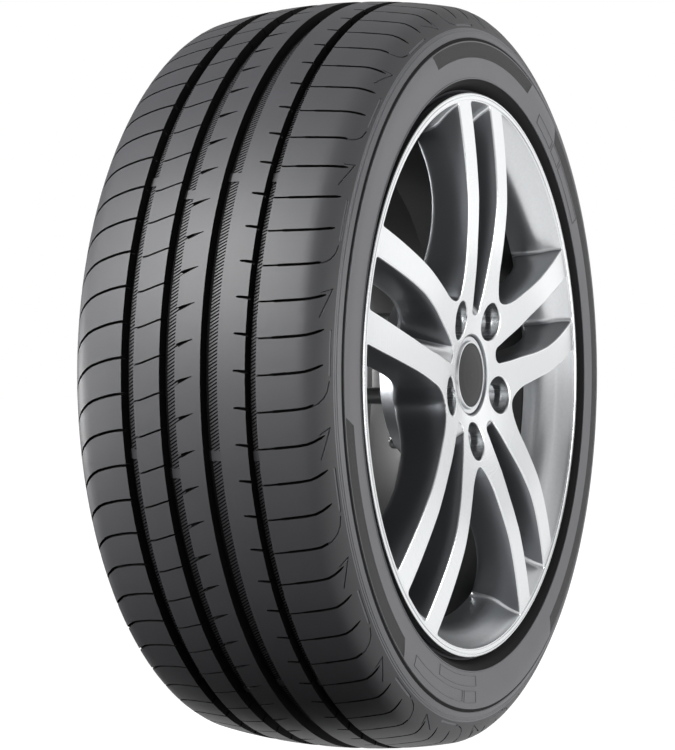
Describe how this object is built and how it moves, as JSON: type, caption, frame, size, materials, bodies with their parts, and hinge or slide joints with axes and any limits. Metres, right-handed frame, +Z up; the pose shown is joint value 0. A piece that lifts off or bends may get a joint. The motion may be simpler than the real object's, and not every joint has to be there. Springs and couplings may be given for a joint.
{
  "type": "car tyre on alloy wheel",
  "caption": "Low-profile road tyre with a ribbed, siped tread, mounted on a twin-spoke alloy wheel with wheel bolts, centre cap and snap-in valve.",
  "frame": {"origin": "middle of the wheel's mounting face, on the wheel's axis", "axes": "+Y along the wheel's axis towards the car, -Y out of the wheel's outer face, +Z up"},
  "size_m": [0.6342, 0.2292, 0.6342],
  "materials": {
    "tyre_rubber": "satin moulded rubber",
    "wheel_alloy": "brushed and lacquered",
    "cap_silver": "silver painted",
    "badge_black": "satin",
    "spring_steel": "drawn wire",
    "bolt_steel": "zinc plated",
    "valve_rubber": "matt",
    "valve_brass": "turned brass",
    "valve_plastic": "moulded"
  },
  "bodies": {
    "root": {"tyre": "tyre_rubber", "alloy_wheel": "wheel_alloy", "centre_cap": "cap_silver", "cap_badge": "badge_black", "cap_spring": "spring_steel", "wheel_bolts": "bolt_steel", "valve_rubber": "valve_rubber", "valve_stem": "valve_brass", "valve_core": "valve_brass", "valve_cap": "valve_plastic"}
  },
  "joints": []
}
